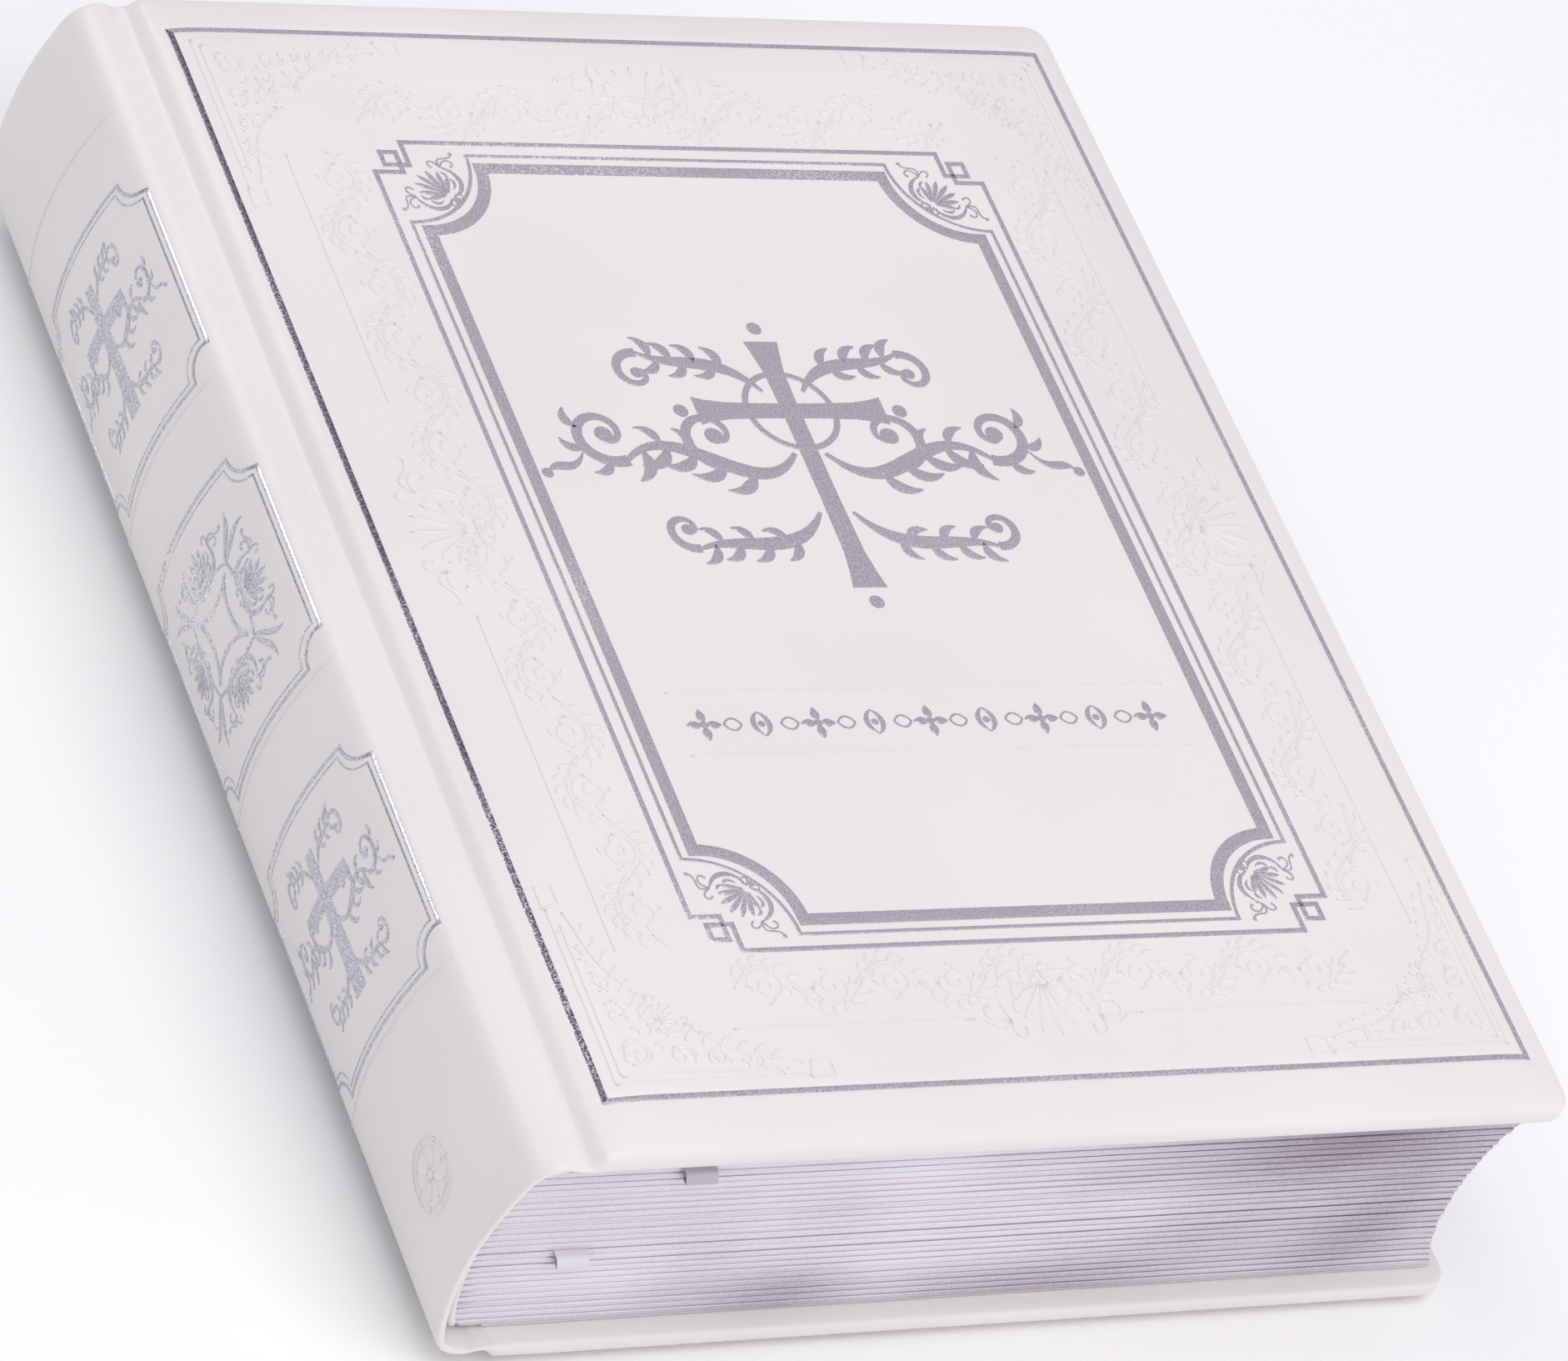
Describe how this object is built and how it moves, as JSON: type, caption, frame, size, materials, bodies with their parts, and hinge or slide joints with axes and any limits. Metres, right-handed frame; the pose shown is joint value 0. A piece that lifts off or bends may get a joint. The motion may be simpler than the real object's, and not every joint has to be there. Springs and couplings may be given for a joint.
{
  "type": "bible",
  "caption": "Thick padded white hardcover bible, rounded spine, silver ornament, silver page edges and two ribbon markers; covers and end leaves turn.",
  "frame": {"origin": "under the middle of the closed book, on the face it rests on", "axes": "+X from the spine to the fore-edge, +Y from the tail to the head, +Z from the back cover to the front cover"},
  "size_m": [0.2241, 0.284, 0.0631],
  "materials": {
    "faux_leather": "satin",
    "silver_foil": "polished",
    "greyboard": "matt",
    "foam": "matt",
    "endpaper": "matt",
    "page_paper": "matt, with silver-coloured edges",
    "joint_cloth": "matt",
    "kraft": "matt",
    "ribbon_satin": "satin",
    "band_cloth": "matt"
  },
  "bodies": {
    "back_cover": {"back_board": "greyboard", "back_padding": "foam", "back_cover_skin": "faux_leather", "back_pastedown": "endpaper", "back_joint_leather": "faux_leather", "back_joint_lining": "joint_cloth"},
    "book_block": {"spine_leather": "faux_leather", "spine_stiffener": "greyboard", "spine_label_frames": "silver_foil", "spine_label_ornaments": "silver_foil", "spine_lining": "kraft", "spine_mull": "joint_cloth", "sewing_threads": "band_cloth", "headband": "band_cloth", "tailband": "band_cloth", "sections_front": "page_paper", "sections_under_upper_ribbon": "page_paper", "sections_middle": "page_paper", "sections_under_lower_ribbon": "page_paper", "sections_back": "page_paper", "upper_ribbon": "ribbon_satin", "lower_ribbon": "ribbon_satin", "front_leaf_margins": "endpaper", "back_leaf_margin": "endpaper"},
    "front_joint": {"front_joint_leather": "faux_leather", "front_joint_lining": "joint_cloth"},
    "front_cover": {"front_board": "greyboard", "front_padding": "foam", "front_cover_skin": "faux_leather", "front_pastedown": "endpaper", "front_fillet": "silver_foil", "front_panel_lines": "silver_foil", "front_panel_band": "silver_foil", "front_corner_ornaments": "silver_foil", "front_centre_ornament": "silver_foil", "front_lower_ornament": "silver_foil"},
    "title_leaf": {"title_leaf": "page_paper"},
    "record_leaf": {"record_leaf": "page_paper"},
    "presentation_leaf": {"presentation_leaf": "page_paper"},
    "front_flyleaf": {"front_flyleaf": "endpaper"},
    "back_flyleaf": {"back_flyleaf": "endpaper"}
  },
  "joints": [
    {"name": "back_cover_hinge", "type": "hinge", "parent": "back_cover", "child": "book_block", "pos_m": [-0.1017, 0, 0.0047], "axis": [0, 1, 0], "range_deg": [-65, 0]},
    {"name": "front_joint_fold", "type": "hinge", "parent": "book_block", "child": "front_joint", "pos_m": [-0.1017, 0, 0.0583], "axis": [0, -1, 0], "range_deg": [0, 90]},
    {"name": "front_cover_fold", "type": "hinge", "parent": "front_joint", "child": "front_cover", "pos_m": [-0.0952, 0, 0.0583], "axis": [0, -1, 0], "range_deg": [0, 90]},
    {"name": "title_leaf_turn", "type": "hinge", "parent": "book_block", "child": "title_leaf", "pos_m": [-0.086, 0, 0.05505], "axis": [0, -1, 0], "range_deg": [0, 118]},
    {"name": "record_leaf_turn", "type": "hinge", "parent": "book_block", "child": "record_leaf", "pos_m": [-0.086, 0, 0.05505], "axis": [0, -1, 0], "range_deg": [0, 124]},
    {"name": "presentation_leaf_turn", "type": "hinge", "parent": "book_block", "child": "presentation_leaf", "pos_m": [-0.086, 0, 0.05505], "axis": [0, -1, 0], "range_deg": [0, 130]},
    {"name": "front_flyleaf_turn", "type": "hinge", "parent": "book_block", "child": "front_flyleaf", "pos_m": [-0.086, 0, 0.05505], "axis": [0, -1, 0], "range_deg": [0, 136]},
    {"name": "back_flyleaf_turn", "type": "hinge", "parent": "book_block", "child": "back_flyleaf", "pos_m": [-0.086, 0, 0.00668], "axis": [0, 1, 0], "range_deg": [0, 26]}
  ],
  "couplings": [
    {"joint": "front_cover_fold", "follows": "front_joint_fold", "ratio": 1},
    {"joint": "title_leaf_turn", "follows": "front_joint_fold", "ratio": 1.3111},
    {"joint": "record_leaf_turn", "follows": "front_joint_fold", "ratio": 1.3778},
    {"joint": "presentation_leaf_turn", "follows": "front_joint_fold", "ratio": 1.4444},
    {"joint": "front_flyleaf_turn", "follows": "front_joint_fold", "ratio": 1.5111},
    {"joint": "back_flyleaf_turn", "follows": "back_cover_hinge", "ratio": -0.4}
  ]
}
